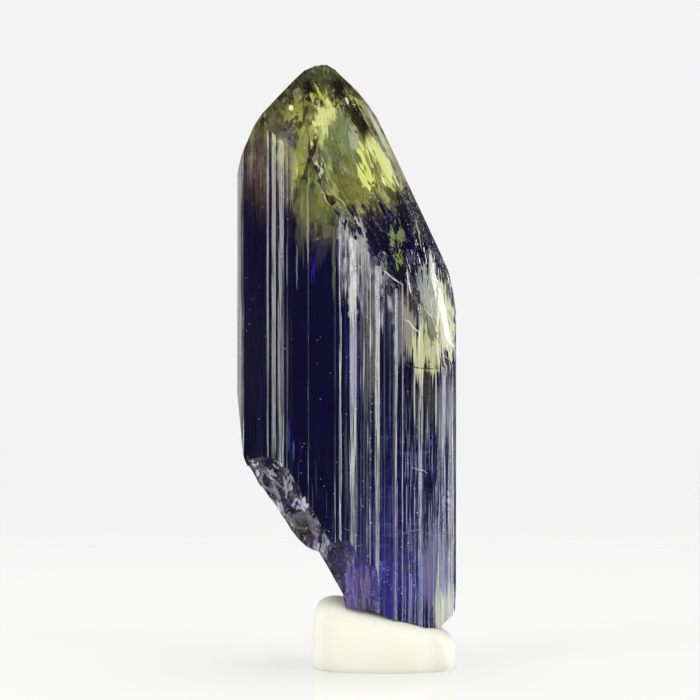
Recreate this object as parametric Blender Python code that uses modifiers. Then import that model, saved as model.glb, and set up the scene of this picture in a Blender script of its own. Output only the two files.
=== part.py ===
"""A tanzanite crystal standing on a small lump of display putty.

Units are metres and +Z is up. The flat underside of the putty lies on Z = 0. The viewer stands at -Y,
with +X to the right. Sizes below are written in millimetres and turned into metres by MM.
"""

from math import radians, tan

import bmesh
import bpy
from mathutils import Vector

MM = 0.001

# Whole crystal
TIP_Z = 34.23
LEFT_X = -6.21
RIGHT_X = 6.22
LEFT_FRONT_Y = -0.62
RIGHT_BACK_Y = 0.90
REACH = 12.0

# Faces of the prism seen from the front, from left to right: the x of the right edge of each face, and
# how far the face turns to the right of the viewer, in degrees
FRONT_FACES = (
    (-5.96, -78), (-5.80, -58), (-4.47, -46), (-4.36, -27), (-4.19, -2), (-3.96, -26), (-3.85, -46),
    (-3.51, -25), (-3.36, -2), (-3.28, -21), (-2.99, -46), (-2.16, 0), (-2.11, 18), (-0.66, 0),
    (-0.62, 17), (-0.42, 0), (-0.29, 26), (0.17, 0), (0.55, 27), (0.72, 3), (1.28, 9), (1.34, 22),
    (1.60, 6), (1.86, 27), (2.70, 6), (2.85, 24), (3.10, 45), (3.17, 22), (4.05, 37), (4.28, 26),
    (5.03, 41), (5.45, 37), (5.60, 27), (RIGHT_X, 55),
)

# Faces of the prism at the back, from right to left: the x of the left edge of each face, and how far
# the face turns to the right, in degrees
BACK_FACES = (
    (5.10, 52), (4.70, 20), (3.90, 44), (3.50, 12), (2.40, 30), (1.90, 4), (1.50, 26), (-0.20, 6),
    (-0.50, -24), (-2.30, 0), (-2.60, -30), (-3.70, -12), (-4.00, -45), (-4.90, -30), (-5.30, -60),
    (LEFT_X, -52),
)

# Outline of the crystal seen from the front, as x and z, clockwise from the left shoulder
LEFT_SHOULDER = ((-6.21, 27.90), (-5.97, 28.86), (-5.78, 29.37), (-5.21, 30.62))
LEFT_SLOPE = ((-4.72, 31.36), (-2.97, 33.32), (-2.42, 33.88))
TIP = ((-1.80, 34.17), (-1.40, TIP_Z), (-1.12, TIP_Z), (-0.66, 33.95), (-0.28, 33.55))
RIGHT_SLOPE = ((0.63, 32.67), (1.25, 31.91), (1.71, 31.25), (2.55, 29.48), (5.30, 23.62))
RIGHT_SHOULDER = ((5.81, 22.48), (6.06, 21.31), (6.22, 20.15))
CHIPPED_CORNER = ((6.22, 4.44), (6.17, 3.30), (6.08, 2.93), (5.54, 2.56), (5.30, 2.26))
BROKEN_BASE = ((4.43, 2.36), (2.60, 2.97), (1.79, 3.30), (1.55, 3.45), (-0.03, 3.59))
UNDERSIDE = ((-0.20, 4.33), (-1.57, 6.55))
LOBE = ((-1.91, 6.60), (-2.31, 6.77), (-2.71, 7.11), (-3.16, 7.57), (-3.59, 8.29))
LEFT_BREAK = ((-4.55, 9.59), (-4.99, 10.27), (-5.50, 11.10), (-5.85, 12.12), (-6.01, 13.77), (-6.21, 15.54))
OUTLINE = (
    LEFT_SHOULDER + LEFT_SLOPE + TIP + RIGHT_SLOPE + RIGHT_SHOULDER
    + CHIPPED_CORNER + BROKEN_BASE + UNDERSIDE + LOBE + LEFT_BREAK
)

# Flat faces of the tip: a point on each, and the way that it faces
TIP_FACES = {
    "front": ((-4.80, -3.10, 30.85), (0.097, -0.759, 0.643)),
    "cap": ((-0.32, -1.90, 31.59), (0.140, -0.616, 0.775)),
    "right_front": ((-1.29, -4.20, 26.98), (0.542, -0.786, 0.299)),
    "right_ridge": ((2.15, -0.12, 29.53), (0.860, -0.300, 0.410)),
    "small_front": ((0.35, -1.25, 31.90), (0.550, -0.520, 0.650)),
    "back_left": ((-1.50, 1.65, 34.10), (-0.300, 0.720, 0.620)),
    "back_right": ((2.55, 1.40, 29.48), (0.640, 0.700, 0.300)),
    "back_shoulder": ((-4.90, 2.60, 29.60), (-0.620, 0.660, 0.420)),
}

# The breaks at the lower left, above the stem's front, and on the right edge: a point on each of their
# surfaces, and the way that it faces. The block that is broken away lies beyond all of them.
BREAK_SIDE = {
    "slope": ((-2.88, -4.20, 10.47), (-0.761, -0.279, -0.586)),
    "roof": ((-4.81, -3.20, 11.84), (-0.250, -0.200, -0.947)),
    "stem_side": ((-0.03, -3.50, 4.00), (-0.850, -0.527, 0.000)),
}
BREAK_FRONT = {
    "ledge": ((-0.42, -4.20, 7.46), (-0.048, -0.944, -0.327)),
    "stem_front": ((0.00, -3.66, 4.00), (-0.030, -1.000, 0.000)),
}

RIGHT_STEP = {
    "step_wall": ((3.21, -3.20, 21.46), (0.773, -0.616, 0.152)),
    "step_floor": ((4.97, -2.10, 16.96), (0.250, -0.350, 0.903)),
}
BREAKS = {"break_side": BREAK_SIDE, "break_front": BREAK_FRONT, "right_step": RIGHT_STEP}

# Putty. Its cage is a block cut in three each way, whose upright edges and top edge are pushed in.
PUTTY_LEFT = -2.00
PUTTY_RIGHT = 6.27
PUTTY_DEPTH = 8.90
PUTTY_TOP_LEFT = 4.30
PUTTY_TOP_RIGHT = 2.00
PUTTY_BELOW = 1.40
PUTTY_CORNER = 0.80
PUTTY_BRIM = 0.93
SEAT_GAP = 0.30
SEAT_LEFT = -0.35
SEAT_RIGHT = 7.00
CAGE_EDGE = 0.20
CAGE_TOP = 0.40

CRYSTAL_COLOUR = (0.045, 0.030, 0.190, 1.0)
CRYSTAL_ROUGHNESS = 0.06
PUTTY_COLOUR = (0.90, 0.92, 0.82, 1.0)
PUTTY_ROUGHNESS = 0.55


def clear_scene():
    for item in list(bpy.data.objects):
        bpy.data.objects.remove(item)


def new_collection(name):
    group = bpy.data.collections.new(name)
    bpy.context.scene.collection.children.link(group)
    return group


def make_material(name, colour, roughness):
    material = bpy.data.materials.new(name)
    material.use_nodes = True
    shader = material.node_tree.nodes["Principled BSDF"]
    shader.inputs["Base Color"].default_value = colour
    shader.inputs["Roughness"].default_value = roughness
    shader.inputs["Metallic"].default_value = 0.0
    return material


def add_object(name, shape, group):
    """Turn a finished shape in millimetres into an object in metres."""
    bmesh.ops.scale(shape, vec=(MM, MM, MM), verts=shape.verts)
    bmesh.ops.recalc_face_normals(shape, faces=shape.faces)
    mesh = bpy.data.meshes.new(name)
    shape.to_mesh(mesh)
    shape.free()
    item = bpy.data.objects.new(name, mesh)
    group.objects.link(item)
    return item


def add_cutter(name, shape, group):
    item = add_object(name, shape, group)
    item.hide_render = True
    item.display_type = "WIRE"
    return item


def add_boolean(item, cutter, operation):
    modifier = item.modifiers.new(cutter.name, "BOOLEAN")
    modifier.operation = operation
    modifier.solver = "EXACT"
    modifier.object = cutter


def extrude_outline(points, direction):
    """A solid with the given corners as its end, pushed along a direction."""
    shape = bmesh.new()
    corners = [shape.verts.new(point) for point in points]
    end = shape.faces.new(corners)
    result = bmesh.ops.extrude_face_region(shape, geom=[end], use_keep_orig=True)
    moved = [item for item in result["geom"] if isinstance(item, bmesh.types.BMVert)]
    bmesh.ops.translate(shape, vec=direction, verts=moved)
    return shape


def cut_flat(shape, point, facing, keep_inner=True):
    """Cut along a plane, drop what lies beyond it, and close the cut with a flat face."""
    everything = shape.verts[:] + shape.edges[:] + shape.faces[:]
    bmesh.ops.bisect_plane(
        shape, geom=everything, dist=1e-6, plane_co=point, plane_no=Vector(facing).normalized(),
        clear_outer=keep_inner, clear_inner=not keep_inner,
    )
    open_edges = [edge for edge in shape.edges if edge.is_boundary]
    if open_edges:
        bmesh.ops.edgeloop_fill(shape, edges=open_edges)


def block_beyond(planes):
    """The block that lies beyond every one of the planes."""
    shape = bmesh.new()
    bmesh.ops.create_cube(shape, size=4.0 * REACH)
    for point, facing in planes.values():
        cut_flat(shape, point, facing, keep_inner=False)
    return shape


def prism_corners():
    """Corners of the cross-section, worked out from the widths and turns of its faces."""
    corners = [(LEFT_X, LEFT_FRONT_Y, 0.0)]
    x, y = LEFT_X, LEFT_FRONT_Y
    for right_x, turn in FRONT_FACES:
        y += (right_x - x) * tan(radians(turn))
        x = right_x
        corners.append((x, y, 0.0))
    y = RIGHT_BACK_Y
    corners.append((x, y, 0.0))
    for left_x, turn in BACK_FACES:
        y += (x - left_x) * tan(radians(turn))
        x = left_x
        corners.append((x, y, 0.0))
    return corners


def make_crystal(group, cutters):
    shape = extrude_outline(prism_corners(), (0.0, 0.0, TIP_Z + 1.0))
    for point, facing in TIP_FACES.values():
        cut_flat(shape, point, facing)
    crystal = add_object("tanzanite_crystal", shape, group)
    crystal.data.materials.append(make_material("violet_crystal", CRYSTAL_COLOUR, CRYSTAL_ROUGHNESS))
    front = [(x, -REACH, z) for x, z in OUTLINE]
    outline = add_cutter("outline", extrude_outline(front, (0.0, 2.0 * REACH, 0.0)), cutters)
    add_boolean(crystal, outline, "INTERSECT")
    for name, surfaces in BREAKS.items():
        add_boolean(crystal, add_cutter(name, block_beyond(surfaces), cutters), "DIFFERENCE")
    return crystal


def putty_top(x):
    """Height of the lump's top, which falls from left to right."""
    share = (x - PUTTY_LEFT) / (PUTTY_RIGHT - PUTTY_LEFT)
    return PUTTY_TOP_LEFT + share * (PUTTY_TOP_RIGHT - PUTTY_TOP_LEFT)


def seat_outline():
    """The broken base of the crystal with a gap all round it."""
    below = [(x, z - SEAT_GAP) for x, z in CHIPPED_CORNER[2:] + BROKEN_BASE]
    below[-1] = (SEAT_LEFT, below[-1][1])
    roof = 3.0 * PUTTY_TOP_LEFT
    return [(SEAT_LEFT, roof), (SEAT_RIGHT, roof), (SEAT_RIGHT, below[0][1])] + below


def make_putty(group, cutters):
    shape = bmesh.new()
    bmesh.ops.create_cube(shape, size=1.0)
    bmesh.ops.subdivide_edges(shape, edges=shape.edges[:], cuts=2, use_grid_fill=True)
    for vert in shape.verts:
        inset = PUTTY_CORNER if abs(vert.co.x * vert.co.y) > CAGE_EDGE else 1.0
        if vert.co.z > CAGE_TOP:
            inset *= PUTTY_BRIM
        x = PUTTY_LEFT + (PUTTY_RIGHT - PUTTY_LEFT) * (inset * vert.co.x + 0.5)
        height = putty_top(x) + PUTTY_BELOW
        vert.co = (x, inset * PUTTY_DEPTH * vert.co.y, height * (vert.co.z + 0.5) - PUTTY_BELOW)
    putty = add_object("display_putty", shape, group)
    putty.data.materials.append(make_material("white_putty", PUTTY_COLOUR, PUTTY_ROUGHNESS))
    putty.data.shade_smooth()
    soften = putty.modifiers.new("soften", "SUBSURF")
    soften.levels = 2
    soften.render_levels = 2
    table = bmesh.new()
    bmesh.ops.create_cube(table, size=2.0 * REACH)
    bmesh.ops.translate(table, vec=(0.0, 0.0, -REACH), verts=table.verts)
    corners = [(x, -REACH, z) for x, z in seat_outline()]
    seat = add_cutter("seat", extrude_outline(corners, (0.0, 2.0 * REACH, 0.0)), cutters)
    add_boolean(putty, add_cutter("table_top", table, cutters), "DIFFERENCE")
    add_boolean(putty, seat, "DIFFERENCE")
    return putty


def main():
    clear_scene()
    group = new_collection("tanzanite_on_putty")
    cutters = new_collection("cutters")
    make_crystal(group, cutters)
    make_putty(group, cutters)


main()
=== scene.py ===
"""Looks for a tanzanite crystal standing on a lump of display putty.

The frame is in metres with +Z up. Sizes below are written in millimetres and turned into metres by MM.
The viewer stands at -Y, with +X to the right. Colours in tables are written from 0 to 255.
"""

from math import cos, radians, sin, tan

import bmesh
import bpy
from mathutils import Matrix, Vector, noise


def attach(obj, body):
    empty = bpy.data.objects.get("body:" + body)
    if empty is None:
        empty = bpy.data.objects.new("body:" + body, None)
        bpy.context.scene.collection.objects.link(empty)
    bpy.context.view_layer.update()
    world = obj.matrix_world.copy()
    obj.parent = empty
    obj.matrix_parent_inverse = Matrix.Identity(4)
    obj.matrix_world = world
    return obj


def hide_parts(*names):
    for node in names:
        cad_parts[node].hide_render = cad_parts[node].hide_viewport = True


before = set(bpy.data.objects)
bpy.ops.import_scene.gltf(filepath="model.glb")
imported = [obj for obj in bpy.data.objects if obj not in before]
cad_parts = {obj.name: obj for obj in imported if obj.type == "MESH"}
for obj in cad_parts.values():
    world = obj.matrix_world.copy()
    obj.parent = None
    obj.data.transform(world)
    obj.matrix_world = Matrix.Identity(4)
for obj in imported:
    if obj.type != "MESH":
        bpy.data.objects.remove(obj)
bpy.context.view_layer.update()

bl_info = {
    "name": "Tanzanite crystal on putty",
    "version": (1, 0, 0),
    "blender": (4, 5, 0),
    "location": "View3D > Sidebar > Crystal",
    "description": "Makes a tanzanite crystal, its putty and a pale studio",
    "category": "Object",
}

MM = 0.001

# Whole crystal: its ends, where the front faces start at the left and the back faces at the right, and
# how far back it may reach
TIP_Z = 34.23
LEFT_X = -6.21
RIGHT_X = 6.22
LEFT_FRONT_Y = -0.62
RIGHT_BACK_Y = 0.90
DEEPEST = 4.40
PRISM_TOP = TIP_Z + 1.0
STONE_IOR = 1.69
STONE_SHARP = 9.0

# Half the size of the shapes that cut right through a piece
REACH = 12.0

# Faces of the prism seen from the front, from left to right: the x of the right edge of each face, how
# far the face turns to the right of the viewer in degrees, how many fine faces it is split into, and
# how far these rock to each side
FRONT_FACES = (
    (-6.14, -82, 1, 0), (-6.05, -77, 1, 0), (-5.96, -72.5, 1, 0), (-5.80, -58, 1, 0),
    (-4.47, -46, 7, 2), (-4.36, -27, 2, 2), (-4.19, -2, 2, 5), (-3.96, -26, 3, 3), (-3.85, -46, 1, 0),
    (-3.51, -25, 5, 3), (-3.36, -2, 2, 6), (-3.28, -21, 1, 0), (-2.99, -46, 3, 3),
    (-2.16, 0, 5, 3), (-2.11, 18, 1, 0), (-0.66, 0, 9, 3), (-0.62, 17, 1, 0), (-0.42, 0, 2, 4),
    (-0.29, 26, 1, 0), (0.17, 0, 6, 10), (0.55, 27, 4, 1), (0.72, 3, 2, 6), (1.28, 9, 8, 11),
    (1.34, 22, 1, 0), (1.60, 6, 4, 11), (1.86, 27, 4, 2), (2.70, 6, 8, 7), (2.85, 24, 2, 2),
    (3.10, 45, 2, 2), (3.17, 22, 1, 0), (4.05, 37, 10, 5), (4.28, 26, 2, 1), (5.03, 41, 9, 7),
    (5.45, 37, 6, 4), (5.60, 27, 2, 3), (RIGHT_X, 55, 7, 7),
)

# Faces of the prism at the back, from right to left, in the same words
BACK_FACES = (
    (5.10, 52, 8, 8), (4.70, 20, 3, 10), (3.90, 44, 4, 4), (3.50, 12, 3, 12), (2.40, 30, 6, 4),
    (1.90, 4, 4, 16), (1.50, 26, 2, 3), (-0.20, 6, 8, 6), (-0.50, -24, 2, 3), (-2.30, 0, 8, 5),
    (-2.60, -30, 2, 3), (-3.70, -12, 6, 12), (-4.00, -45, 2, 3), (-4.90, -30, 5, 5), (-5.30, -60, 3, 4),
    (LEFT_X, -52, 4, 4),
)

# Outline of the crystal seen from the front, as x and z, clockwise from the left shoulder
LEFT_SHOULDER = ((-6.21, 27.90), (-5.97, 28.86), (-5.78, 29.37), (-5.21, 30.62))
LEFT_SLOPE = ((-4.72, 31.36), (-2.97, 33.32), (-2.42, 33.88))
TIP = ((-1.80, 34.17), (-1.40, TIP_Z), (-1.12, TIP_Z), (-0.66, 33.95), (-0.28, 33.55))
RIGHT_SLOPE = ((0.63, 32.67), (1.25, 31.91), (1.71, 31.25), (2.55, 29.48), (5.30, 23.62))
RIGHT_SHOULDER = ((5.81, 22.48), (6.06, 21.31), (6.22, 20.15))
CHIPPED_CORNER = ((6.22, 4.44), (6.17, 3.30), (6.08, 2.93), (5.54, 2.56), (5.30, 2.26))
BROKEN_BASE = ((4.43, 2.36), (2.60, 2.97), (1.79, 3.30), (1.55, 3.45), (-0.03, 3.59))
UNDERSIDE = ((-0.20, 4.33), (-1.57, 6.55))
LOBE = ((-1.91, 6.60), (-2.31, 6.77), (-2.71, 7.11), (-3.16, 7.57), (-3.59, 8.29))
LEFT_BREAK = ((-4.55, 9.59), (-4.99, 10.27), (-5.50, 11.10), (-5.85, 12.12), (-6.01, 13.77), (-6.21, 15.54))
OUTLINE = (
    LEFT_SHOULDER + LEFT_SLOPE + TIP + RIGHT_SLOPE + RIGHT_SHOULDER
    + CHIPPED_CORNER + BROKEN_BASE + UNDERSIDE + LOBE + LEFT_BREAK
)

# Flat faces of the tip: a point on each, and the way that it faces
TIP_FACES = {
    "front": ((-4.80, -3.10, 30.85), (0.097, -0.759, 0.643)),
    "cap": ((-0.32, -1.90, 31.59), (0.140, -0.616, 0.775)),
    "right_ridge": ((2.15, -0.12, 29.53), (0.860, -0.300, 0.410)),
    "small_front": ((0.35, -1.25, 31.90), (0.550, -0.520, 0.650)),
    "back_shoulder": ((-4.90, 2.60, 29.60), (-0.620, 0.660, 0.420)),
}

# Rough surfaces: a point on each, and the way that it faces. The block that is gone lies beyond all
# surfaces of its group. Each layer of roughness is named lump or chip, with its width, its height or
# steepness, and how much it is drawn out upwards.
ROUGH = {
    "right_front": (
        {"face": ((-1.29, -4.20, 26.98), (0.5415, -0.7857, 0.2991))},
        (("lump", 1.2, 0.05, 0.5), ("chip", 0.6, 0.04, 0.3)), 0.12,
    ),
    "back_left": (
        {"face": ((-1.50, 1.65, 34.10), (-0.300, 0.720, 0.620))},
        (("lump", 2.0, 0.15, 1.0), ("chip", 0.9, 0.16, 0.7)), 0.14,
    ),
    "back_right": (
        {"face": ((2.55, 1.40, 29.48), (0.640, 0.700, 0.300))},
        (("lump", 2.0, 0.15, 0.6), ("chip", 0.8, 0.12, 0.4)), 0.14,
    ),
    "break_side": (
        {
            "slope": ((-2.88, -4.20, 10.47), (-0.761, -0.279, -0.586)),
            "roof": ((-4.81, -3.20, 11.84), (-0.250, -0.200, -0.947)),
            "stem_side": ((-0.03, -3.50, 4.00), (-0.850, -0.527, 0.000)),
        },
        (("lump", 2.2, 0.45, 1.0), ("chip", 1.1, 0.32, 1.0), ("chip", 0.4, 0.10, 1.0)), 0.12,
    ),
    "break_front": (
        {
            "ledge": ((-0.42, -4.20, 7.46), (-0.048, -0.944, -0.327)),
            "stem_front": ((0.00, -3.66, 4.00), (-0.030, -1.000, 0.000)),
        },
        (("lump", 0.9, 0.10, 0.10), ("chip", 0.5, 0.22, 0.10)), 0.11,
    ),
    "right_step": (
        {
            "step_wall": ((3.21, -3.20, 21.46), (0.773, -0.616, 0.152)),
            "step_floor": ((4.97, -2.10, 16.96), (0.250, -0.350, 0.903)),
        },
        (("lump", 1.3, 0.12, 0.3), ("chip", 0.6, 0.12, 0.15)), 0.12,
    ),
}
BLOCK = (15.0, 11.0, 17.0)

# How deep the marks inside the stone reach: the middle and half the depth
MARK_Y = -3.5
MARK_DEPTH = 5.5

# Marks inside the stone: x, z, half width, half height, lean of the top to the right in degrees,
# colour, how strongly it covers what lies under it, and how cloudy it is. These break up into flakes.
# Some are painted light or painted shade rather than flaws; the comments above those say which.
FLAKY_MARKS = {
    "green_under_edge": (-2.00, 26.30, 0.95, 1.70, 0, (96, 106, 66), 0.75, 0.45),
    "yellow_band": (-2.42, 29.40, 0.42, 1.40, 14, (152, 154, 70), 0.95, 0.6),
    "left_olive": (-3.60, 31.20, 1.10, 1.60, 40, (98, 92, 34), 0.7, 0.35),
    "left_yellow": (-2.95, 31.40, 0.60, 0.90, 20, (184, 174, 62), 0.8, 0.55),
    "left_lower_edge": (-3.70, 30.05, 0.32, 1.25, -53, (66, 72, 54), 0.9, 0.4),
    "olive_cap": (-1.30, 33.40, 2.40, 1.15, -8, (76, 74, 24), 0.92, 0.35),
    "grey_green": (-0.15, 29.60, 1.25, 2.20, -12, (112, 126, 86), 0.85, 0.6),
    "grey_green_dark": (-0.60, 28.60, 0.50, 1.30, -14, (70, 80, 46), 0.8, 0.3),
    "olive_streaks": (0.10, 27.20, 0.95, 1.40, -18, (104, 100, 28), 0.8, 0.35),
    # Partly the tip's yellow green, partly painted light shining through this facet.
    "pale_facet": (-1.28, 31.25, 0.62, 0.95, 12, (222, 222, 138), 1.0, 0.9),
    "white_mottle": (0.36, 29.90, 0.36, 0.90, 0, (206, 212, 186), 0.6, 0.65),
    # The next two are partly the tip's yellow green, partly painted light shining through these windows.
    "window_right": (2.05, 28.40, 0.52, 2.15, -23, (240, 250, 146), 1.0, 0.9),
    "window_left": (1.02, 28.20, 0.34, 1.70, -12, (234, 246, 126), 1.0, 0.85),
    "yellow_brown": (1.00, 26.50, 0.40, 0.80, -10, (128, 118, 34), 0.7, 0.4),
    "dark_pool_left": (1.55, 24.60, 0.90, 0.80, -30, (24, 20, 40), 0.95, 0.1),
    "dark_pool_right": (3.60, 25.60, 0.66, 2.10, -24, (30, 27, 36), 0.95, 0.1),
    "dark_pool_low": (3.00, 22.40, 1.30, 0.62, -42, (27, 24, 34), 0.95, 0.1),
    # Painted highlight: a glint in the tip.
    "low_glint": (-1.46, 28.35, 0.30, 0.36, 0, (232, 238, 196), 0.9, 0.85),
}

# The same, but these have small chips along their edges
CHIPPED_MARKS = {
    "purple_patch": (-3.10, 30.85, 0.22, 0.42, 30, (52, 34, 60), 0.95, 0.2),
    # The next three are painted shade: dark patches in the tip.
    "tip_shade_left": (-2.08, 32.70, 0.44, 0.58, 0, (24, 20, 6), 1.0, 0.10),
    "tip_shade_right": (-0.50, 32.90, 0.46, 0.95, -20, (32, 28, 11), 1.0, 0.10),
    "small_facet_shade": (0.66, 31.05, 0.42, 1.30, -24, (40, 39, 16), 1.0, 0.12),
    # The next three are painted highlights: glints on the right and low down.
    "olive_glint": (4.90, 16.95, 0.46, 0.18, 0, (206, 220, 66), 0.9, 0.8),
    "blue_glint": (4.86, 12.80, 0.09, 0.17, 0, (44, 54, 226), 0.95, 0.8),
    "pale_blue_glint": (5.66, 9.60, 0.12, 0.28, 0, (156, 190, 232), 0.8, 0.8),
    "light_blue": (2.04, 5.85, 0.14, 0.38, 10, (94, 124, 224), 0.9, 0.8),
    "olive_lobe": (-2.60, 7.60, 0.70, 1.10, -50, (84, 72, 36), 0.9, 0.5),
    "pale_lobe": (-3.20, 7.95, 0.24, 0.42, 0, (190, 184, 168), 0.9, 0.8),
    "dark_lobe": (-2.35, 7.40, 0.22, 0.60, -10, (32, 28, 28), 0.9, 0.2),
    "dark_side": (-0.85, 5.40, 0.34, 1.60, -32, (48, 44, 42), 0.8, 0.3),
    # The next five are painted highlights: white glints on the broken face.
    "white_chip_top": (-5.10, 11.00, 0.30, 0.42, -20, (230, 230, 236), 1.0, 0.95),
    "white_chip_small": (-5.22, 11.62, 0.15, 0.20, 0, (232, 232, 238), 0.95, 0.95),
    "white_chip_ring": (-4.25, 10.95, 0.20, 0.26, 0, (222, 222, 230), 0.9, 0.9),
    "white_chip_edge": (-3.80, 11.45, 0.26, 0.18, 30, (228, 228, 234), 0.95, 0.95),
    "white_chip_low": (-2.52, 9.42, 0.30, 0.56, 62, (204, 208, 230), 1.0, 0.9),
}

# The same, but these are drawn out into upright streaks
STREAKY_MARKS = {
    "green_low": (-2.50, 24.40, 0.42, 1.20, 0, (100, 106, 72), 0.7, 0.45),
    "grey_low_streaks": (-1.20, 24.20, 0.90, 1.10, 0, (98, 96, 88), 0.45, 0.4),
    # The next four are painted light: pale glows in the stone.
    "etched_glow": (0.90, 23.70, 0.36, 1.30, 0, (208, 208, 194), 0.75, 0.75),
    "stripe_glow": (0.38, 20.60, 0.26, 1.70, 0, (226, 228, 206), 0.75, 0.8),
    "left_glow": (3.55, 19.80, 0.45, 2.30, 0, (206, 208, 172), 0.75, 0.75),
    "edge_glow": (5.72, 18.60, 0.55, 1.50, 0, (250, 255, 214), 1.0, 0.95),
    "pale_middle": (2.98, 19.10, 0.38, 2.60, 0, (178, 182, 162), 0.65, 0.6),
    "olive_middle": (1.50, 18.70, 0.34, 3.30, 0, (140, 142, 112), 0.6, 0.5),
    "olive_haze": (4.60, 15.30, 1.30, 1.00, 0, (128, 130, 92), 0.5, 0.4),
    "blue_foot": (3.80, 4.30, 1.15, 2.60, 0, (50, 52, 144), 0.5, 0.3),
    "pale_stem_edge": (0.05, 4.40, 0.12, 1.00, 0, (176, 170, 190), 0.8, 0.7),
    "grey_streaks": (1.12, 19.00, 0.42, 4.20, 0, (128, 128, 104), 0.55, 0.4),
    "grey_top_streaks": (-3.40, 28.40, 0.55, 2.20, 0, (150, 146, 140), 0.6, 0.45),
    # Painted light: a pale glow near the right edge.
    "pale_glow": (5.34, 20.10, 1.22, 3.10, -7, (250, 254, 212), 1.0, 0.9),
    "pale_stripes": (4.56, 21.30, 0.60, 1.60, -14, (206, 210, 196), 0.85, 0.7),
    # Painted light: a pale glow low on the right.
    "low_glow": (4.40, 17.90, 0.86, 1.45, 0, (226, 234, 166), 0.95, 0.85),
    "violet_shade": (5.60, 14.60, 0.68, 2.30, 0, (150, 150, 160), 0.75, 0.55),
    "dark_gap": (2.30, 18.80, 0.30, 2.60, 0, (24, 18, 54), 0.95, 0.1),
    "dark_stripes": (3.80, 21.20, 0.36, 1.20, -8, (50, 44, 42), 0.85, 0.2),
    "blue_patch": (-1.83, 22.35, 0.18, 0.60, 0, (30, 6, 150), 0.9, 0.6),
    "blue_patch_low": (0.40, 17.00, 0.50, 3.00, 0, (22, 10, 104), 0.7, 0.4),
    "deep_blue": (2.25, 4.60, 0.50, 2.20, 0, (40, 38, 142), 0.7, 0.5),
    "violet_stem": (0.30, 4.60, 0.42, 1.60, 0, (116, 98, 178), 0.8, 0.65),
    "grey_stem": (1.05, 4.30, 0.30, 1.30, 0, (138, 128, 172), 0.7, 0.6),
    "pale_lavender": (5.05, 5.60, 0.95, 2.60, 0, (160, 154, 196), 0.7, 0.55),
    "pale_foot": (5.60, 3.00, 0.75, 2.00, 0, (232, 238, 206), 0.9, 0.85),
}

# The same, but these have ragged ends
RAGGED_MARKS = {
    # The next five are partly the stone's colour, partly painted light shining through these windows.
    "window_upper_left": (2.58, 24.48, 0.20, 0.50, 0, (136, 164, 56), 0.9, 0.7),
    "window_upper_right": (3.05, 24.50, 0.24, 0.46, 0, (150, 162, 88), 0.9, 0.7),
    "window_lower": (3.00, 23.25, 0.26, 0.36, 15, (156, 176, 44), 0.9, 0.7),
    "window_lower_left": (2.15, 23.20, 0.15, 0.34, 0, (110, 122, 50), 0.8, 0.6),
    "window_violet": (3.60, 23.35, 0.34, 0.26, 0, (110, 104, 130), 0.85, 0.6),
    # Painted highlight: a yellow glint.
    "yellow_glint": (3.20, 20.68, 0.28, 0.16, 0, (176, 178, 60), 0.85, 0.6),
    "olive_corner": (4.72, 19.40, 0.40, 1.25, -24, (138, 144, 106), 0.75, 0.55),
    "olive_corner_dark": (4.60, 18.95, 0.12, 0.80, -16, (92, 96, 64), 0.8, 0.3),
}

# The same, but these keep their edges
SHARP_MARKS = {
    # Painted highlight: a bright line along the edge between two fine faces.
    "bright_line": (-2.16, 24.90, 0.07, 2.30, 0, (176, 180, 132), 0.75, 0.65),
    # Painted highlight: a bright spot in the tip.
    "bright_spot": (-3.12, 31.70, 0.15, 0.17, 0, (255, 250, 190), 1.0, 0.9),
    # Painted reflection: a pale band along the right slope of the tip.
    "ridge_reflection": (1.88, 30.35, 0.22, 2.30, -26.6, (206, 212, 172), 0.9, 0.8),
    "dark_wedge": (-2.03, 28.80, 0.13, 1.50, 20, (34, 34, 18), 0.95, 0.1),
    "bright_streak": (-1.50, 32.50, 0.08, 1.20, -28, (200, 208, 50), 0.9, 0.8),
    # The next two are painted highlights: rows of blue glints.
    "blue_glint_left": (-3.21, 13.30, 0.05, 0.97, 0, (34, 72, 172), 0.85, 0.6),
    "blue_glint_right": (-2.96, 12.46, 0.05, 0.66, 0, (64, 112, 206), 0.85, 0.6),
    # Painted highlight: a pale line along a facet edge of the tip.
    "facet_edge_highlight": (0.88, 31.45, 0.05, 1.20, -26, (206, 208, 160), 0.8, 0.8),
    "window_gap": (1.62, 28.20, 0.08, 1.50, -19, (92, 100, 46), 0.9, 0.4),
    # Painted highlight: a glint near the top.
    "upper_glint": (0.02, 32.05, 0.08, 0.26, -25, (242, 244, 206), 0.9, 0.8),
    # Painted highlight: a thin yellow line along an edge.
    "yellow_edge_highlight": (4.06, 24.70, 0.05, 1.15, -12, (196, 202, 110), 0.9, 0.8),
    "white_border": (2.56, 22.10, 0.055, 0.82, -53, (218, 220, 212), 0.9, 0.9),
    "olive_thread": (-0.72, 22.90, 0.09, 2.20, 0, (128, 136, 84), 0.8, 0.5),
    "pale_spike": (-2.77, 22.70, 0.05, 1.35, 0, (150, 152, 142), 0.8, 0.6),
    "step_edge": (3.75, 19.35, 0.06, 0.72, -50, (232, 236, 226), 0.9, 0.9),
    "low_edge": (5.30, 18.00, 0.05, 0.95, -42, (222, 230, 190), 0.8, 0.9),
    "level_crack": (4.20, 17.05, 0.05, 0.95, -82, (96, 92, 52), 0.85, 0.3),
    "crack_light": (4.12, 11.24, 0.035, 0.56, -73, (150, 152, 172), 0.8, 0.8),
    "crack_left": (4.15, 11.13, 0.045, 0.62, -73, (12, 8, 22), 1.0, 0.1),
    "crack_right": (5.10, 11.13, 0.045, 0.48, 68, (14, 10, 24), 1.0, 0.1),
    "thin_crack": (3.65, 7.85, 0.03, 0.56, 88, (128, 130, 176), 0.7, 0.6),
    "dark_patch": (3.78, 5.63, 0.30, 0.28, 0, (18, 10, 48), 0.9, 0.2),
}

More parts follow.
